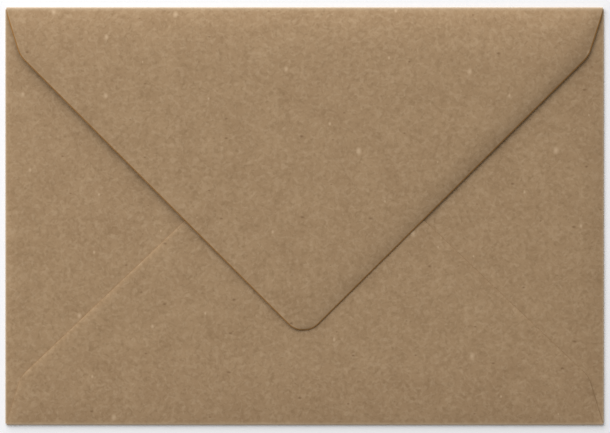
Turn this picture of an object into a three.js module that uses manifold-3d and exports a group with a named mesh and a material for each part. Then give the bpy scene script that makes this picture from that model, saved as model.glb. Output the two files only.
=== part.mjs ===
// A pointed-flap kraft envelope, folded from one sheet of paper and lying on its front.
// Millimetres. X runs along the long side, +Y towards the fold of the closing flap, +Z up.
// The origin is at the middle of the front panel's outer face, which lies on z = 0.

import * as THREE from 'three';
import { mergeVertices } from 'three/addons/utils/BufferGeometryUtils.js';
import Module from 'manifold-3d';

// Finished envelope and its paper
const envelopeWidth = 162;
const envelopeHeight = 113;
const paperThickness = 0.16;

// Space kept between the folded layers
const sideFoldGap = 0.3; // clear height inside the left and right folds
const seamFilm = 0.1; // gum and trapped air between a side flap and the bottom flap
const closingGap = 0.1; // between the closing flap and the back of the envelope at its fold

// The back bulges over the empty pocket, more to the right. Each reach is the distance from a
// fold in which it gets about two thirds of the way up.
const pocketBulge = 0.8;
const bulgeToRight = 0.45; // share by which it is higher at the right, and lower at the left
const leftBulgeReach = 1.1;
const rightBulgeReach = 6;
const bottomBulgeReach = 7;
const topBulgeReach = 6;

// The bottom flap rises over the gum behind its cut edges, which are pressed down
const gumSwell = 0.25;
const gumSwellReach = 0.9;
const gumFoldReach = 6.6;
const rightSeamShare = 0.7; // of the left seam's rise

// The closing flap isn't stuck, so it springs off the back. Its left edge stays up, and its
// right edge is pressed nearly flat.
const closingSpring = 1.6;
const springToRight = 0.15; // share by which it is higher at the right, and lower at the left
const closingReach = 5.7;
const pointFall = 0.5; // share of the spring that is gone at the flap's point
const leftEdgeHold = 0.1; // share of the spring that is gone at its left edge
const leftHoldReach = 6;
const rightEdgePress = 0.84; // share of the spring that is gone at its right edge, by the fold
const rightPressToPoint = -0.05; // and the change in that share by the point
const rightPressReach = 3.8;

// Cut shape of the flaps
const shoulderInset = 4.2; // a flap's shoulder lies this far in from the next finished side
const shoulderDepth = 13.05; // and this far from its own fold
const shoulderRound = 3; // length of straight edge that the rounding takes up on each side
const closingPointMargin = 23.4; // from where the closing flap's edges would meet to the bottom fold
const closingPointLean = -0.36; // the closing flap is folded slightly askew, so its point lands to the left
const closingTipRadius = 5.45;
const bottomPointMargin = 26.9; // from where the bottom flap's edges would meet to the top fold
const bottomTipRadius = 12;
const sidePointMargin = 15.5; // from where a side flap's edges would meet to the middle of the envelope
const sideTipRadius = 8;

// Gummed seams between the bottom flap and the side flaps
const gumInset = 1; // from the bottom flap's cut edge
const gumWidth = 5;

// Fineness of the mesh
const columnsAcross = 22; // along the top and bottom folds
const columnsUp = 16; // along the side folds
const bendSteps = 6;
const curveSteps = 4;
const gumSteps = 8;
const narrowestRow = 0.7;
const widestRow = 9;
const rowGrowth = 0.4; // of a row's distance from the fold
const rowRemainder = 1.5; // a stretch shorter than this many rows is left whole

// Heights between the middles of the two layers that each fold joins
const sideFoldHeight = paperThickness + sideFoldGap;
const bottomFoldHeight = sideFoldHeight + paperThickness + seamFilm;
const closingFoldHeight = bottomFoldHeight + paperThickness + closingGap;

// What a fold adds to the flat panel: from the start of its bend to the finished side
const foldReach = (foldHeight) => (foldHeight + paperThickness) / 2;

const panelRight = envelopeWidth / 2 - foldReach(sideFoldHeight);
const panelTop = envelopeHeight / 2 - foldReach(closingFoldHeight);
const panelBottom = -envelopeHeight / 2 + foldReach(bottomFoldHeight);
const panelMiddle = (panelTop + panelBottom) / 2;
const panelHalfHeight = (panelTop - panelBottom) / 2;

// Rises from 0 at a fold or a cut edge towards 1, steepest at the start.
function riseFrom(distance, reach) {
  return 1 - Math.exp(-Math.max(distance, 0) / reach);
}

// The height of the middle of each layer of paper
function sideLayer(x, y) {
  const bulge = pocketBulge * (1 + (bulgeToRight * x) / panelRight)
    * riseFrom(panelRight + x, leftBulgeReach) * riseFrom(panelRight - x, rightBulgeReach)
    * riseFrom(y - panelBottom, bottomBulgeReach) * riseFrom(panelTop - y, topBulgeReach);
  return paperThickness / 2 + sideFoldHeight + bulge;
}

function gumRise(x, y) {
  const fromLeft = (panelRight + x) / (2 * panelRight);
  const share = 1 - (1 - rightSeamShare) * fromLeft;
  return gumSwell * share * riseFrom(y - panelBottom, gumFoldReach);
}

function bottomLayer(x, y, fromRightEdge, fromLeftEdge) {
  const pressed = riseFrom(fromLeftEdge, gumSwellReach) * riseFrom(fromRightEdge, gumSwellReach);
  return sideLayer(x, y) + paperThickness + seamFilm + gumRise(x, y) * pressed;
}

function closingLayer(x, y, fromLeftEdge, fromRightEdge, shareOfDepth) {
  const fromFold = riseFrom(panelTop - y, closingReach);
  const spring = closingSpring * (1 + (springToRight * x) / panelRight) * fromFold
    * (1 - pointFall * shareOfDepth);
  const hold = leftEdgeHold * Math.exp(-fromLeftEdge / leftHoldReach);
  const press = (rightEdgePress + rightPressToPoint * shareOfDepth)
    * Math.exp(-fromRightEdge / rightPressReach);
  const clear = 2 * paperThickness + seamFilm + closingGap;
  return sideLayer(x, y) + clear + gumRise(x, y) * fromFold + spring * (1 - hold) * (1 - press);
}

// Half of a pointed flap's cut edge. x is the distance from the flap's middle line, and y the
// distance from the finished side that it folds over.
function halfOutline(flap) {
  const shoulder = new THREE.Vector2(flap.shoulderHalfWidth, shoulderDepth);
  const point = new THREE.Vector2(0, flap.pointDepth);
  const root = new THREE.Vector2(flap.rootHalfWidth, foldReach(flap.foldHeight));
  const towardsRoot = root.clone().sub(shoulder).setLength(shoulderRound);
  const towardsPoint = point.clone().sub(shoulder).setLength(shoulderRound);
  const halfAngle = Math.atan2(shoulder.x, point.y - shoulder.y);
  const tipCentre = point.y - flap.tipRadius / Math.sin(halfAngle);

  const outline = new THREE.Path();
  outline.moveTo(root.x, root.y);
  outline.lineTo(shoulder.x + towardsRoot.x, shoulder.y + towardsRoot.y);
  outline.quadraticCurveTo(
    shoulder.x, shoulder.y, shoulder.x + towardsPoint.x, shoulder.y + towardsPoint.y,
  );
  outline.absarc(0, tipCentre, flap.tipRadius, halfAngle, Math.PI / 2, false);
  return outline.getPoints(curveSteps);
}

// The flap's rows: every corner of its outline, with more between them where it is straight.
// They are close together by the fold, where the paper bends, and wider apart further on.
function flapRows(outline) {
  const rows = [outline[0]];
  for (const corner of outline.slice(1)) {
    let last = rows[rows.length - 1];
    let spacing = rowSpacing(last.y - outline[0].y);
    while (corner.y - last.y > rowRemainder * spacing) {
      last = last.clone().lerp(corner, spacing / (corner.y - last.y));
      rows.push(last);
      spacing = rowSpacing(last.y - outline[0].y);
    }
    rows.push(corner);
  }
  return rows;
}

function rowSpacing(fromFold) {
  return Math.min(widestRow, narrowestRow + rowGrowth * fromFold);
}

// Positions across a flap or the panel from -1 to 1, closer together at both ends.
function acrossShares(columns) {
  return Array.from({ length: columns + 1 }, (unused, column) =>
    Math.sin((Math.PI / 2) * ((2 * column - columns) / columns)));
}

// One point of the sheet as its two faces: outer is the outside of the envelope.
function facePair(x, y, z, outX, outY, outZ) {
  const half = paperThickness / 2;
  return {
    outer: new THREE.Vector3(x + outX * half, y + outY * half, z + outZ * half),
    inner: new THREE.Vector3(x - outX * half, y - outY * half, z - outZ * half),
  };
}

// The front panel, flat on the ground between its four folds.
function panelGrid() {
  return acrossShares(columnsUp).map((up) =>
    acrossShares(columnsAcross).map((across) =>
      facePair(
        panelRight * across, panelMiddle + panelHalfHeight * up, paperThickness / 2, 0, 0, -1,
      )));
}

// A flap as a grid of rows from its fold to its point: first round the bend, then back over
// the panel at the height of its own layer.
function flapGrid(flap) {
  const bendRadius = flap.foldHeight / 2;
  const shares = acrossShares(flap.columns);
  const along = new THREE.Vector2(flap.out.y, -flap.out.x);
  const grid = [];
  for (let step = 0; step <= bendSteps; step++) {
    const turn = (Math.PI * step) / bendSteps;
    const reach = bendRadius * Math.sin(turn);
    const z = paperThickness / 2 + bendRadius * (1 - Math.cos(turn));
    grid.push(shares.map((share) => {
      const offset = flap.rootHalfWidth * share;
      return facePair(
        flap.foldMiddle.x + along.x * offset + flap.out.x * reach,
        flap.foldMiddle.y + along.y * offset + flap.out.y * reach,
        z, flap.out.x * Math.sin(turn), flap.out.y * Math.sin(turn), -Math.cos(turn),
      );
    }));
  }
  const rows = flapRows(halfOutline(flap));
  const depth = rows[rows.length - 1].y - rows[0].y;
  for (const { x: halfWidth, y: fromSide } of rows.slice(1)) {
    const back = fromSide - foldReach(flap.foldHeight);
    const lean = (flap.lean * back) / depth;
    grid.push(shares.map((share) => {
      const offset = lean + halfWidth * share;
      const x = flap.foldMiddle.x + along.x * offset - flap.out.x * back;
      const y = flap.foldMiddle.y + along.y * offset - flap.out.y * back;
      const z = flap.layer(x, y, halfWidth * (1 + share), halfWidth * (1 - share), back / depth);
      return facePair(x, y, z, 0, 0, 1);
    }));
  }
  return grid;
}

// Adds a triangle, unless two of its corners are the same point, as they are at a flap's tip.
function addTriangle(corners, a, b, c) {
  const tiny = 1e-6;
  if (a.distanceTo(b) < tiny || b.distanceTo(c) < tiny || c.distanceTo(a) < tiny) return;
  corners.push(a, b, c);
}

function addQuad(corners, a, b, c, d) {
  addTriangle(corners, a, b, c);
  addTriangle(corners, a, c, d);
}

// Both faces of a grid of face pairs.
function addFaces(corners, grid) {
  for (let row = 0; row + 1 < grid.length; row++) {
    for (let column = 0; column + 1 < grid[row].length; column++) {
      const a = grid[row][column];
      const b = grid[row][column + 1];
      const c = grid[row + 1][column + 1];
      const d = grid[row + 1][column];
      addQuad(corners, a.inner, b.inner, c.inner, d.inner);
      addQuad(corners, d.outer, c.outer, b.outer, a.outer);
    }
  }
}

// The cut edges on both sides of a flap.
function addCutEdges(corners, grid) {
  for (let row = 0; row + 1 < grid.length; row++) {
    const first = grid[row][0];
    const firstNext = grid[row + 1][0];
    const last = grid[row][grid[row].length - 1];
    const lastNext = grid[row + 1][grid[row + 1].length - 1];
    addQuad(corners, first.outer, first.inner, firstNext.inner, firstNext.outer);
    addQuad(corners, last.inner, last.outer, lastNext.outer, lastNext.inner);
  }
}

const closingFlap = {
  out: new THREE.Vector2(0, 1),
  foldMiddle: new THREE.Vector2(0, panelTop),
  foldHeight: closingFoldHeight,
  rootHalfWidth: panelRight,
  shoulderHalfWidth: envelopeWidth / 2 - shoulderInset,
  pointDepth: envelopeHeight - closingPointMargin,
  tipRadius: closingTipRadius,
  lean: closingPointLean,
  columns: columnsAcross,
  layer: closingLayer,
};

const bottomFlap = {
  out: new THREE.Vector2(0, -1),
  foldMiddle: new THREE.Vector2(0, panelBottom),
  foldHeight: bottomFoldHeight,
  rootHalfWidth: panelRight,
  shoulderHalfWidth: envelopeWidth / 2 - shoulderInset,
  pointDepth: envelopeHeight - bottomPointMargin,
  tipRadius: bottomTipRadius,
  lean: 0,
  columns: columnsAcross,
  layer: bottomLayer,
};

function sideFlap(direction) {
  return {
    out: new THREE.Vector2(direction, 0),
    foldMiddle: new THREE.Vector2(direction * panelRight, panelMiddle),
    foldHeight: sideFoldHeight,
    rootHalfWidth: panelHalfHeight,
    shoulderHalfWidth: envelopeHeight / 2 - shoulderInset,
    pointDepth: envelopeWidth / 2 - sidePointMargin,
    tipRadius: sideTipRadius,
    lean: 0,
    columns: columnsUp,
    layer: sideLayer,
  };
}

function foldedSheet() {
  const corners = [];
  addFaces(corners, panelGrid());
  for (const flap of [sideFlap(-1), sideFlap(1), bottomFlap, closingFlap]) {
    const grid = flapGrid(flap);
    addFaces(corners, grid);
    addCutEdges(corners, grid);
  }
  return new THREE.BufferGeometry().setFromPoints(corners);
}

// The gummed seam on one side: a band just inside the bottom flap's slanting edge, from the
// middle of the side flap's paper to the middle of the bottom flap's, so that it joins both.
function gumBand(direction) {
  const shoulder = new THREE.Vector2(
    direction * bottomFlap.shoulderHalfWidth, shoulderDepth - envelopeHeight / 2,
  );
  const point = new THREE.Vector2(0, bottomFlap.pointDepth - envelopeHeight / 2);
  const edge = point.clone().sub(shoulder).normalize();
  const inwards = new THREE.Vector2(-direction * edge.y, direction * edge.x);
  const farEdge = 2 * bottomFlap.shoulderHalfWidth;
  const start = shoulderRound;
  const length = (panelMiddle - shoulder.y) / edge.y - start;
  const grid = [];
  for (let step = 0; step <= gumSteps; step++) {
    const run = start + (length * step) / gumSteps;
    grid.push([gumInset, gumInset + gumWidth].map((inset) => {
      const x = shoulder.x + edge.x * run + inwards.x * inset;
      const y = shoulder.y + edge.y * run + inwards.y * inset;
      return {
        outer: new THREE.Vector3(x, y, bottomLayer(x, y, inset / Math.abs(edge.y), farEdge)),
        inner: new THREE.Vector3(x, y, sideLayer(x, y)),
      };
    }));
  }
  if (direction > 0) grid.forEach((row) => row.reverse());
  const corners = [];
  addFaces(corners, grid.map((row) => row.map(({ outer, inner }) => ({ outer: inner, inner: outer }))));
  for (let step = 0; step < gumSteps; step++) {
    const [a, b] = grid[step];
    const [d, c] = grid[step + 1];
    addQuad(corners, a.inner, a.outer, d.outer, d.inner);
    addQuad(corners, b.outer, b.inner, c.inner, c.outer);
  }
  const [a, b] = grid[0];
  const [d, c] = grid[gumSteps];
  addQuad(corners, a.outer, a.inner, b.inner, b.outer);
  addQuad(corners, d.inner, d.outer, c.outer, c.inner);
  return new THREE.BufferGeometry().setFromPoints(corners);
}

const wasm = await Module();
wasm.setup();

function solidOf(geometry) {
  const merged = mergeVertices(geometry, 1e-4);
  const solid = new wasm.Manifold(new wasm.Mesh({
    numProp: 3,
    vertProperties: merged.attributes.position.array,
    triVerts: new Uint32Array(merged.index.array),
  }));
  return solid;
}

function geometryOf(solid) {
  const { vertProperties, triVerts } = solid.getMesh();
  const geometry = new THREE.BufferGeometry();
  geometry.setAttribute('position', new THREE.BufferAttribute(vertProperties, 3));
  geometry.setIndex(new THREE.BufferAttribute(triVerts, 1));
  geometry.computeVertexNormals();
  return geometry;
}

const kraftPaper = new THREE.MeshStandardMaterial({ color: 0x9c8163, roughness: 0.92, metalness: 0 });

const sheet = solidOf(foldedSheet()).add(solidOf(gumBand(-1))).add(solidOf(gumBand(1)));
const envelope = new THREE.Mesh(geometryOf(sheet), kraftPaper);
envelope.name = 'envelope';

const part = new THREE.Group();
part.add(envelope);

export default part;
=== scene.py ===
import math

import bpy
import numpy as np
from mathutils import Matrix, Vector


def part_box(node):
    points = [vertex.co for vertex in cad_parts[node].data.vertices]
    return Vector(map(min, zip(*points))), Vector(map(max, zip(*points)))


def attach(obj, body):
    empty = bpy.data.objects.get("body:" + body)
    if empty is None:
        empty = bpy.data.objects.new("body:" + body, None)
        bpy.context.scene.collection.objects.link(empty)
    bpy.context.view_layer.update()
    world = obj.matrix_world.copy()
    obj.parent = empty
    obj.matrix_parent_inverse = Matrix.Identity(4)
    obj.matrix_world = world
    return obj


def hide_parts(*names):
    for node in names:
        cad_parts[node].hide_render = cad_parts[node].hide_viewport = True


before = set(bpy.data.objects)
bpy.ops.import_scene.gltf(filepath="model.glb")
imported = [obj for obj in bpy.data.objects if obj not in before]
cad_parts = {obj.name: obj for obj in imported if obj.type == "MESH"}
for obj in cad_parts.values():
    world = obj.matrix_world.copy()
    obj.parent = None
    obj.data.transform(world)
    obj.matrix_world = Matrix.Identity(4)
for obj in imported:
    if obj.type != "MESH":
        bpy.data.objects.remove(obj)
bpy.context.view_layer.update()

# The front panel, on which the envelope lies, is the middle of one die-cut blank of unbleached
# kraft paper. Its four sides are creases, and a flap is folded up and back over it at each one.
# Lengths are in millimetres, and become metres when the mesh is made.
metre = 1000.0
lowest, highest = (np.array(corner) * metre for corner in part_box("envelope"))
envelope_width, envelope_height = (highest - lowest)[:2]
paper_thickness = 0.16
side_fold_gap = 0.3
seam_film = 0.1
closing_gap = 0.1
# A fold's height is how far it lifts the flap's paper above the front panel's.
side_fold_height = paper_thickness + side_fold_gap
bottom_fold_height = side_fold_height + paper_thickness + seam_film
closing_fold_height = bottom_fold_height + paper_thickness + closing_gap
columns_across = 96
columns_up = 72


def fold_reach(fold_height):
    """How far the bend of a fold stands out past the flat panel."""
    return (fold_height + paper_thickness) / 2


panel_right = envelope_width / 2 - fold_reach(side_fold_height)
panel_top = envelope_height / 2 - fold_reach(closing_fold_height)
panel_bottom = -envelope_height / 2 + fold_reach(bottom_fold_height)
panel_middle = (panel_top + panel_bottom) / 2
panel_half_height = (panel_top - panel_bottom) / 2


def across_shares(columns):
    """Positions across the paper from -1 to 1, closer together at both edges."""
    return np.sin(math.pi / 2 * np.linspace(-1, 1, columns + 1))


def paper_grid(middle, outward, blank, fold_wear_and_highlight, cut_edge, cut_slope):
    """Both faces of a stretch of paper, half its thickness to each side of its middle.

    Each point keeps its place on the flat blank, how much paler the crease is painted there (worn
    fibres, and a painted highlight on the fold's rim) and whether it is on a cut edge, where the
    material paints shade. The slope of the cut moves the edge of the inner face further out.
    """
    half = paper_thickness / 2
    face_side = np.full(middle.shape[:2], half)
    return {
        "outer": middle + half * outward,
        "inner": middle - half * outward + cut_slope,
        "outer_blank": np.dstack([blank, face_side]),
        "inner_blank": np.dstack([blank, -face_side]),
        "fold_wear_and_highlight": fold_wear_and_highlight,
        "cut_edge": cut_edge,
    }


panel_x, panel_y = np.meshgrid(
    panel_right * across_shares(columns_across),
    panel_middle + panel_half_height * across_shares(columns_up),
)
front_panel = paper_grid(
    middle=np.dstack([panel_x, panel_y, np.full(panel_x.shape, paper_thickness / 2)]),
    outward=np.array([0.0, 0.0, -1.0]),
    blank=np.dstack([panel_x, panel_y]),
    fold_wear_and_highlight=np.zeros(panel_x.shape),
    cut_edge=np.zeros(panel_x.shape),
    cut_slope=0.0,
)

# The two side flaps are folded in first. Each is a blunt triangle with a rounded point, its top
# and bottom shoulders set in from the creases. The paper is springy and the pocket is empty, so
# the back bulges a little, more to the right.
shoulder_inset = 4.2
shoulder_depth = 13.05
shoulder_round = 1.8
side_point_margin = 15.5
side_tip_radius = 8.0
pocket_bulge = 0.8
bulge_to_right = 0.45
left_bulge_reach = 1.1
right_bulge_reach = 6.0
bottom_bulge_reach = 7.0
top_bulge_reach = 6.0
# A flap's rows of points: round the bend, along its straight edges, and round its corners.
bend_steps = 10
narrowest_row = 0.2
widest_row = 1.5
row_growth = 0.12
longest_last_row = 1.5
shoulder_points = 13
tip_points = 25
# The paler crease, worn fibres and a painted highlight on the fold's rim, fades within this share
# of the bend, and the slope of a cut edge sets in over this length from the crease.
fold_wear_and_highlight_share = 0.9
cut_slope_starts = 2.0


def rise_from(distance, reach):
    """Rises from 0 at a fold or an edge towards 1, steepest at the start."""
    return 1 - np.exp(-np.maximum(distance, 0) / reach)


def side_layer(x, y):
    """Height of the middle of the side flaps' paper."""
    bulge = pocket_bulge * (1 + bulge_to_right * x / panel_right)
    bulge = bulge * rise_from(panel_right + x, left_bulge_reach)
    bulge = bulge * rise_from(panel_right - x, right_bulge_reach)
    bulge = bulge * rise_from(y - panel_bottom, bottom_bulge_reach)
    bulge = bulge * rise_from(panel_top - y, top_bulge_reach)
    return paper_thickness / 2 + side_fold_height + bulge


def half_outline(flap):
    """Half widths and depths along a flap's cut edge, from its fold to its point."""
    root = np.array([flap["root_half_width"], fold_reach(flap["fold_height"])])
    shoulder = np.array([flap["shoulder_half_width"], shoulder_depth])
    point = np.array([0.0, flap["point_depth"]])
    to_root = (root - shoulder) / np.linalg.norm(root - shoulder)
    to_point = (point - shoulder) / np.linalg.norm(point - shoulder)
    start = shoulder + shoulder_round * to_root
    end = shoulder + shoulder_round * to_point
    turn = np.linspace(0, 1, shoulder_points)[:, None]
    rounded = (1 - turn) ** 2 * start + 2 * turn * (1 - turn) * shoulder + turn**2 * end

    half_angle = math.atan2(shoulder[0], point[1] - shoulder[1])
    tip_centre = point[1] - flap["tip_radius"] / math.sin(half_angle)
    angles = np.linspace(half_angle, math.pi / 2, tip_points)
    tip = np.column_stack([np.cos(angles), np.sin(angles)]) * flap["tip_radius"]
    tip[:, 1] += tip_centre
    tip[-1, 0] = 0.0
    return np.vstack([root, rounded, tip])


def flap_rows(outline):
    """Adds rows where the outline is straight, close together by the fold."""
    rows = [outline[0]]
    for corner in outline[1:]:
        start = rows[-1]
        depth = start[1]
        while True:
            spacing = min(widest_row, narrowest_row + row_growth * (depth - outline[0][1]))
            if corner[1] - depth < longest_last_row * spacing:
                break
            depth += spacing
            share = (depth - start[1]) / (corner[1] - start[1])
            rows.append(start + share * (corner - start))
        rows.append(corner)
    return np.array(rows)


def folded_flap(flap):
    """A flap as rows from its fold to its point: round the bend, then back over the panel."""
    out = np.array(flap["out"])
    along = np.array([out[1], -out[0]])
    fold_middle = np.array(flap["fold_middle"])
    shares = across_shares(flap["columns"])

    bend_radius = flap["fold_height"] / 2
    turns = np.linspace(0, math.pi, bend_steps + 1)[:, None] * np.ones(shares.size)
    bend_offset = flap["root_half_width"] * shares * np.ones_like(turns)
    bend_reach = bend_radius * np.sin(turns)
    bend_plane = fold_middle + bend_offset[..., None] * along + bend_reach[..., None] * out
    bend_z = paper_thickness / 2 + bend_radius * (1 - np.cos(turns))
    bend_normal = np.dstack([out[0] * np.sin(turns), out[1] * np.sin(turns), -np.cos(turns)])

    rows = flap_rows(half_outline(flap))
    half_width = rows[1:, :1]
    back = (rows[1:, 1:] - fold_reach(flap["fold_height"])) * np.ones(shares.size)
    total_depth = back[-1, 0]
    share_of_depth = back / total_depth
    offset = flap["lean"] * back / total_depth + half_width * shares
    plane = fold_middle + offset[..., None] * along - back[..., None] * out
    from_low_edge = half_width * (1 + shares)
    from_high_edge = half_width * (1 - shares)
    height = flap["layer"](
        plane[..., 0], plane[..., 1], from_low_edge, from_high_edge, share_of_depth
    )
    upward = np.zeros(height.shape + (3,))
    upward[..., 2] = 1.0

    middle = np.concatenate([np.dstack([bend_plane, bend_z]), np.dstack([plane, height])])
    outward = np.concatenate([bend_normal, upward])
    along_blank = np.concatenate([bend_offset, offset])
    out_blank = np.concatenate([bend_radius * turns, math.pi * bend_radius + back])
    blank = fold_middle + along_blank[..., None] * along + out_blank[..., None] * out
    crest = math.pi * bend_radius / 2
    # Paler towards the crest of each bend: partly worn fibres, partly a painted highlight on the
    # fold's rim.
    fold_wear_and_highlight = np.exp(-(((out_blank - crest) / (crest * fold_wear_and_highlight_share)) ** 2))

    edge_run = np.gradient(rows, axis=0)[1:]
    edge_run = edge_run / np.linalg.norm(edge_run, axis=1, keepdims=True)
    sideways = edge_run[:, 1:] * along
    to_point = edge_run[:, :1] * out
    slope = np.minimum(back[:, :1] / cut_slope_starts, 1) * flap["cut_slope"]
    cut_slope = np.zeros(middle.shape)
    cut_slope[bend_steps + 1:, 0, :2] = slope * (to_point - sideways)
    cut_slope[bend_steps + 1:, -1, :2] = slope * (to_point + sideways)
    cut_slope[-1, :, :2] = -flap["cut_slope"] * out
    # The cut edges are marked for the material, which paints shade on them as a darker brown.
    cut_edge = np.zeros(middle.shape[:2])
    cut_edge[bend_steps + 1:, [0, -1]] = 1.0
    cut_edge[-1] = 1.0
    return paper_grid(middle, outward, blank, fold_wear_and_highlight, cut_edge, cut_slope)


side_flaps = []
for direction in (-1.0, 1.0):
    side_flaps.append(folded_flap({
        "out": (direction, 0.0),
        "fold_middle": (direction * panel_right, panel_middle),
        "fold_height": side_fold_height,
        "root_half_width": panel_half_height,
        "shoulder_half_width": envelope_height / 2 - shoulder_inset,
        "point_depth": envelope_width / 2 - side_point_margin,
        "tip_radius": side_tip_radius,
        "lean": 0.0,
        "columns": columns_up,
        "layer": lambda x, y, low_edge, high_edge, depth: side_layer(x, y),
        "cut_slope": 0.0,
    }))

# The bottom flap is folded up over the side flaps and gummed to them along its slanting edges.
# The gum holds it a little off them, and its cut edges are pressed down, so each seam shows as a
# soft ridge. Its point is hidden under the closing flap.
bottom_point_margin = 26.9
bottom_tip_radius = 12.0
gum_swell = 0.25
gum_swell_reach = 0.9
gum_fold_reach = 6.6
right_seam_share = 0.7
seam_edge_press = 0.08


def bottom_layer(x, y):
    """Height of the middle of the bottom flap's paper, away from its seams."""
    return side_layer(x, y) + paper_thickness + seam_film


def gum_rise(x, y):
    """How far the gum and the air behind it lift the bottom flap, less on the right."""
    from_left = (panel_right + x) / (2 * panel_right)
    share = 1 - (1 - right_seam_share) * from_left
    return gum_swell * share * rise_from(y - panel_bottom, gum_fold_reach)


def seamed_bottom_layer(x, y, from_right_edge, from_left_edge, share_of_depth):
    """The bottom flap rises over the gum from its cut edges, which are pressed down."""
    risen = rise_from(from_left_edge, gum_swell_reach)
    risen = risen * rise_from(from_right_edge, gum_swell_reach)
    return bottom_layer(x, y) + gum_rise(x, y) * risen - seam_edge_press * (1 - risen)


bottom_flap = folded_flap({
    "out": (0.0, -1.0),
    "fold_middle": (0.0, panel_bottom),
    "fold_height": bottom_fold_height,
    "root_half_width": panel_right,
    "shoulder_half_width": envelope_width / 2 - shoulder_inset,
    "point_depth": envelope_height - bottom_point_margin,
    "tip_radius": bottom_tip_radius,
    "lean": 0.0,
    "columns": columns_across,
    "layer": seamed_bottom_layer,
    "cut_slope": 0.0,
})

# The closing flap is folded down last and isn't stuck, so the springy paper rises from its fold
# and stands off the back. Its left edge stays up, and its right edge is pressed nearly flat, most
# where it crosses the seam. Its cut edge slopes, and with painted shade on it shows as a thin
# brown line.
closing_shoulder_inset = 4.35
closing_point_margin = 23.7
closing_point_lean = -0.36
closing_tip_radius = 5.45
closing_cut_slope = 0.3
closing_spring = 1.6
spring_to_right = 0.15
closing_reach = 5.7
point_fall = 0.5
left_edge_hold = 0.1
left_hold_reach = 6.0
right_edge_press = 0.84
right_press_to_point = -0.05
right_press_reach = 3.8
seam_crossing = 0.56
seam_crossing_reach = 0.14
seam_crossing_press = 0.11


def closing_layer(x, y, from_left_edge, from_right_edge, share_of_depth):
    """Height of the middle of the closing flap's paper."""
    spring = closing_spring * (1 + spring_to_right * x / panel_right)
    spring = spring * rise_from(panel_top - y, closing_reach)
    spring = spring * (1 - point_fall * share_of_depth)
    hold = left_edge_hold * np.exp(-from_left_edge / left_hold_reach)
    press = right_edge_press + right_press_to_point * share_of_depth
    from_crossing = (share_of_depth - seam_crossing) / seam_crossing_reach
    press = press + seam_crossing_press * np.exp(-(from_crossing**2))
    press = press * np.exp(-from_right_edge / right_press_reach)
    clear = bottom_layer(x, y) + gum_rise(x, y) * rise_from(panel_top - y, closing_reach)
    return clear + paper_thickness + closing_gap + spring * (1 - hold) * (1 - press)


closing_flap = folded_flap({
    "out": (0.0, 1.0),
    "fold_middle": (0.0, panel_top),
    "fold_height": closing_fold_height,
    "root_half_width": panel_right,
    "shoulder_half_width": envelope_width / 2 - closing_shoulder_inset,
    "point_depth": envelope_height - closing_point_margin,
    "tip_radius": closing_tip_radius,
    "lean": closing_point_lean,
    "columns": columns_across,
    "layer": closing_layer,
    "cut_slope": closing_cut_slope,
})

# The finished sheet is all five areas of the blank, which were never apart. They are joined along
# their creases into one mesh, with both faces and the cut edges between them.
weld_decimals = 5
sharp_edge_angle = math.radians(50)


def grid_faces(grid, first_vertex):
    """Quads of both faces of a grid, and of the cut edges at its sides where it is a flap."""
    rows, columns = grid["outer"].shape[:2]
    outer = first_vertex + np.arange(rows * columns).reshape(rows, columns)
    inner = outer + rows * columns
    corners = [
        (inner[:-1, :-1], inner[:-1, 1:], inner[1:, 1:], inner[1:, :-1]),
        (outer[1:, :-1], outer[1:, 1:], outer[:-1, 1:], outer[:-1, :-1]),
    ]
    if grid is not front_panel:
        corners.append((outer[:-1, 0], inner[:-1, 0], inner[1:, 0], outer[1:, 0]))
        corners.append((inner[:-1, -1], outer[:-1, -1], outer[1:, -1], inner[1:, -1]))
    return np.concatenate([np.stack(four, axis=-1).reshape(-1, 4) for four in corners])


points = []
blank_points = []
fold_wears_and_highlights = []
cut_edges = []
quads = []
first_vertex = 0
for grid in [front_panel, *side_flaps, bottom_flap, closing_flap]:
    quads.append(grid_faces(grid, first_vertex))
    for face in ("outer", "inner"):
        points.append(grid[face].reshape(-1, 3))
        blank_points.append(grid[face + "_blank"].reshape(-1, 3))
        fold_wears_and_highlights.append(grid["fold_wear_and_highlight"].reshape(-1))
        cut_edges.append(grid["cut_edge"].reshape(-1))
        first_vertex += points[-1].shape[0]
points = np.concatenate(points)
quads = np.concatenate(quads)
_, kept, merged = np.unique(
    np.round(points, weld_decimals), axis=0, return_index=True, return_inverse=True
)
merged = merged.reshape(-1)
# Where the point of a flap closes, its quads have lost a corner or more.
faces = []
for quad in merged[quads]:
    corners = list(dict.fromkeys(int(corner) for corner in quad))
    if len(corners) > 2:
        faces.append(corners)

sheet_mesh = bpy.data.meshes.new("folded_kraft_sheet")
sheet_mesh.from_pydata((points[kept] / metre).tolist(), [], faces)
for name, values in (("fold_wear_and_highlight", fold_wears_and_highlights), ("cut_edge", cut_edges)):
    attribute = sheet_mesh.attributes.new(name, "FLOAT", "POINT")
    attribute.data.foreach_set("value", np.concatenate(values)[kept])
blank_attribute = sheet_mesh.attributes.new("blank", "FLOAT_VECTOR", "POINT")
blank_attribute.data.foreach_set("vector", np.concatenate(blank_points)[kept].reshape(-1))
sheet_mesh.polygons.foreach_set("use_smooth", [True] * len(sheet_mesh.polygons))
sheet_mesh.set_sharp_from_angle(angle=sharp_edge_angle)
sheet = bpy.data.objects.new("folded_kraft_sheet", sheet_mesh)
bpy.context.collection.objects.link(sheet)
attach(sheet, "root")
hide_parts("envelope")

# The paper is unbleached kraft, machine-made and left uncoated: a matt tan sheet without gloss,
# softly mottled, with short curly fibres, a few pale flecks and dark shives of bark. Along the
# creases it is painted paler, partly for stretched fibres and partly as a painted highlight on
# the fold's rim, and its cut edges are painted a darker brown as painted shade.
kraft_roughness = 0.9
kraft_gloss = 0.0
fibre_relief = 0.006


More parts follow.
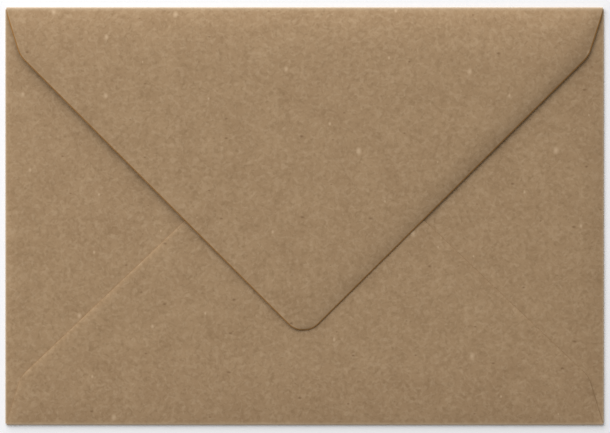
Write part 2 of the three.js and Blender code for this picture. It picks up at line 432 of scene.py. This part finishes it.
def linear_colour(hex_colour):
    """Turns an sRGB hex colour into the linear values that shaders take."""
    channels = [int(hex_colour[i:i + 2], 16) / 255 for i in (1, 3, 5)]
    linear = [c / 12.92 if c <= 0.04045 else ((c + 0.055) / 1.055) ** 2.4 for c in channels]
    return (*linear, 1.0)


def add_node(tree, kind, properties, inputs):
    """Adds a node with its settings, and sets or links its inputs."""
    node = tree.nodes.new(kind)
    for name, value in properties.items():
        setattr(node, name, value)
    for socket, value in inputs.items():
        if isinstance(value, bpy.types.NodeSocket):
            tree.links.new(value, node.inputs[socket])
        else:
            node.inputs[socket].default_value = value
    return node


kraft_tan = linear_colour("#A38869")
kraft_shade = linear_colour("#997E60")
pale_fibre = linear_colour("#B9A082")
dark_fibre = linear_colour("#7C6447")
pale_fleck = linear_colour("#C9AF90")
dark_shive = linear_colour("#6B5037")
# The crease colour is pale for worn fibres and also paints a highlight on the fold's rim.
creased_kraft_and_highlight = linear_colour("#D2BDA2")
# The cut colour is painted shade: a dark brown laid on the cut edges.
cut_edge_painted_shade = linear_colour("#8E6535")
kraft_paper = bpy.data.materials.new("uncoated_kraft_paper")
kraft_paper.use_nodes = True
tree = kraft_paper.node_tree
tree.nodes.clear()
blank_place = add_node(tree, "ShaderNodeAttribute", {"attribute_name": "blank"}, {})
blank_mm = blank_place.outputs["Vector"]

# Uneven pulp shows as soft clouds between two shades of tan.
mottle_size = 7.0
mottle_detail = 5.0
mottle_roughness = 0.6
mottle_dark_end = 0.3
mottle_pale_end = 0.7
mottle = add_node(tree, "ShaderNodeTexNoise", {}, {
    "Vector": blank_mm, "Scale": 1 / mottle_size, "Detail": mottle_detail,
    "Roughness": mottle_roughness,
})
mottle_share = add_node(tree, "ShaderNodeMapRange", {}, {
    "Value": mottle.outputs["Fac"], "From Min": mottle_dark_end, "From Max": mottle_pale_end,
})
paper_colour = add_node(tree, "ShaderNodeMix", {"data_type": "RGBA"}, {
    "Factor": mottle_share.outputs["Result"], "A": kraft_shade, "B": kraft_tan,
})

# Real fibres are about 0.03 mm wide, which is too fine to show, so they are drawn wider. A set
# has a colour, a place on the roll of paper, the size of the curls, half the width and the
# length after which the fibres break off.
fibre_strength = 0.22
fibre_sets = [
    (dark_fibre, 11.0, 2.6, 0.3, 1.4),
    (pale_fibre, 37.0, 3.1, 0.3, 1.6),
    (dark_fibre, 61.0, 1.8, 0.19, 1.2),
    (pale_fibre, 83.0, 2.0, 0.2, 1.3),
]
curl_detail = 1.5
curl_distortion = 0.7
curl_level = 0.5
fibre_ends_at = 0.45
fibre_whole_at = 0.6


def curly_fibres(place_on_roll, curl, half_width, broken_every):
    """Thin curving lines broken into short lengths: 1 on a fibre, and 0 between the fibres."""
    moved = add_node(tree, "ShaderNodeVectorMath", {"operation": "ADD"}, {
        0: blank_mm, 1: (place_on_roll, place_on_roll, place_on_roll),
    })
    bends = add_node(tree, "ShaderNodeTexNoise", {}, {
        "Vector": moved.outputs["Vector"], "Scale": 1 / curl, "Detail": curl_detail,
        "Distortion": curl_distortion,
    })
    from_line = add_node(tree, "ShaderNodeMath", {"operation": "SUBTRACT"}, {
        0: bends.outputs["Fac"], 1: curl_level,
    })
    off_line = add_node(tree, "ShaderNodeMath", {"operation": "ABSOLUTE"}, {
        0: from_line.outputs["Value"],
    })
    line = add_node(tree, "ShaderNodeMapRange", {"interpolation_type": "SMOOTHSTEP"}, {
        "Value": off_line.outputs["Value"], "From Min": 0.0, "From Max": half_width / curl,
        "To Min": 1.0, "To Max": 0.0,
    })
    gaps = add_node(tree, "ShaderNodeTexNoise", {}, {
        "Vector": moved.outputs["Vector"], "Scale": 1 / broken_every, "Detail": 0.0,
    })
    there = add_node(tree, "ShaderNodeMapRange", {"interpolation_type": "SMOOTHSTEP"}, {
        "Value": gaps.outputs["Fac"], "From Min": fibre_ends_at, "From Max": fibre_whole_at,
    })
    fibres = add_node(tree, "ShaderNodeMath", {"operation": "MULTIPLY"}, {
        0: line.outputs["Result"], 1: there.outputs["Result"],
    })
    return fibres.outputs["Value"]


def laid_over(colour_below, colour, share, strength):
    """One colour over another, where and as strongly as the share says."""
    factor = add_node(tree, "ShaderNodeMath", {"operation": "MULTIPLY"}, {0: share, 1: strength})
    mix = add_node(tree, "ShaderNodeMix", {"data_type": "RGBA"}, {
        "Factor": factor.outputs["Value"], "A": colour_below, "B": colour,
    })
    return mix.outputs["Result"]


colour_now = paper_colour.outputs["Result"]
fibre_shares = []
for colour, *fibre_measures in fibre_sets:
    fibre_shares.append(curly_fibres(*fibre_measures))
    colour_now = laid_over(colour_now, colour, fibre_shares[-1], fibre_strength)

# A set of flecks has a colour, a spacing, the reach of the widest one and a narrowing.
fleck_strength = 0.6
fleck_sets = [
    (pale_fleck, 16.0, 1.2, 0.7),
    (dark_shive, 18.0, 0.9, 1.6),
]
for colour, spacing, widest, narrowing in fleck_sets:
    narrowed = add_node(tree, "ShaderNodeVectorMath", {"operation": "MULTIPLY"}, {
        0: blank_mm, 1: (1.0, narrowing, 1.0),
    })
    cells = add_node(tree, "ShaderNodeTexVoronoi", {"voronoi_dimensions": "2D"}, {
        "Vector": narrowed.outputs["Vector"], "Scale": 1 / spacing,
    })
    unlike = add_node(tree, "ShaderNodeSeparateColor", {}, {"Color": cells.outputs["Color"]})
    own_reach = add_node(tree, "ShaderNodeMath", {"operation": "MULTIPLY"}, {
        0: unlike.outputs["Red"], 1: widest / spacing,
    })
    flecks = add_node(tree, "ShaderNodeMapRange", {"interpolation_type": "SMOOTHSTEP"}, {
        "Value": cells.outputs["Distance"], "From Min": 0.0,
        "From Max": own_reach.outputs["Value"], "To Min": 1.0, "To Max": 0.0,
    })
    colour_now = laid_over(colour_now, colour, flecks.outputs["Result"], fleck_strength)

# The mesh says where the sheet is creased and where it is cut. The creases are painted paler,
# partly for worn fibres and partly as a painted highlight on the fold's rim, and the cut edges
# are painted a darker brown as painted shade.
crease_and_highlight_strength = 0.75
cut_shade_strength = 0.9
for place, colour, strength in (
    ("fold_wear_and_highlight", creased_kraft_and_highlight, crease_and_highlight_strength),
    ("cut_edge", cut_edge_painted_shade, cut_shade_strength),
):
    there = add_node(tree, "ShaderNodeAttribute", {"attribute_name": place}, {})
    colour_now = laid_over(colour_now, colour, there.outputs["Fac"], strength)

# The clouds and the widest pale fibres stand out, so the surface isn't quite smooth.
raised_set = 1
relief = add_node(tree, "ShaderNodeMath", {"operation": "ADD"}, {
    0: fibre_shares[raised_set], 1: mottle.outputs["Fac"],
})
surface = add_node(tree, "ShaderNodeBump", {}, {
    "Height": relief.outputs["Value"], "Distance": fibre_relief / metre,
})
paper_shader = add_node(tree, "ShaderNodeBsdfPrincipled", {}, {
    "Base Color": colour_now, "Roughness": kraft_roughness, "Specular IOR Level": kraft_gloss,
    "Normal": surface.outputs["Normal"],
})
add_node(tree, "ShaderNodeOutputMaterial", {}, {"Surface": paper_shader.outputs["BSDF"]})
sheet_mesh.materials.append(kraft_paper)

# The floor is a plain table top in matt white paint, which is pale and even and shows no gloss.
# It lies a hair below the envelope, so that the two surfaces don't fall together.
floor_size = 6000.0
floor_drop = 0.1
paint_roughness = 0.9
paint_gloss = 0.0
floor_colour = linear_colour("#F5F5F7")
bpy.ops.mesh.primitive_plane_add(
    size=floor_size / metre, location=(0.0, 0.0, -floor_drop / metre)
)
floor = bpy.context.object
floor.name = "table_top"
floor_paint = bpy.data.materials.new("matt_white_table")
floor_paint.use_nodes = True
floor_shader = floor_paint.node_tree.nodes["Principled BSDF"]
floor_shader.inputs["Base Color"].default_value = floor_colour
floor_shader.inputs["Roughness"].default_value = paint_roughness
floor_shader.inputs["Specular IOR Level"].default_value = paint_gloss
floor.data.materials.append(floor_paint)

# One large soft lamp stands past the closing flap's fold, a little to the left, a metre from the
# envelope and turned slightly aside. The pale room fills in the rest.
lamp_azimuth = math.radians(36)
lamp_elevation = math.radians(35)
lamp_distance = 1000.0
lamp_size = 1380.0
lamp_turn = math.radians(15)
lamp_power = 17.3
room_strength = 0.36
lamp_data = bpy.data.lights.new("soft_lamp", "AREA")
lamp_data.shape = "SQUARE"
lamp_data.size = lamp_size / metre
lamp_data.energy = lamp_power
lamp = bpy.data.objects.new("soft_lamp", lamp_data)
lamp_back = lamp_distance * math.cos(lamp_elevation)
lamp.location = (
    -lamp_back * math.sin(lamp_azimuth) / metre,
    lamp_back * math.cos(lamp_azimuth) / metre,
    lamp_distance * math.sin(lamp_elevation) / metre,
)
lamp.rotation_euler = (math.pi / 2 - lamp_elevation, 0.0, math.pi + lamp_azimuth - lamp_turn)
bpy.context.collection.objects.link(lamp)
world = bpy.data.worlds.new("pale_room")
world.use_nodes = True
room = world.node_tree.nodes["Background"]
room.inputs["Color"].default_value = linear_colour("#FFFFFF")
room.inputs["Strength"].default_value = room_strength
bpy.context.scene.world = world

# The camera looks straight down from far enough away that the envelope keeps its true outline.
# Its height is the one at which a millimetre takes up picture_scale pixels.
picture_width = 610
picture_scale = 3.693
lens_length = 200.0
sensor_width = 36.0
camera_x = 0.1
camera_y = -0.1
camera_height = (picture_width / picture_scale) * lens_length / sensor_width
camera_data = bpy.data.cameras.new("overhead_camera")
camera_data.lens = lens_length
camera_data.sensor_width = sensor_width
camera = bpy.data.objects.new("overhead_camera", camera_data)
camera.location = (camera_x / metre, camera_y / metre, camera_height / metre)
bpy.context.collection.objects.link(camera)
bpy.context.scene.camera = camera
bpy.context.scene.view_settings.view_transform = "Standard"
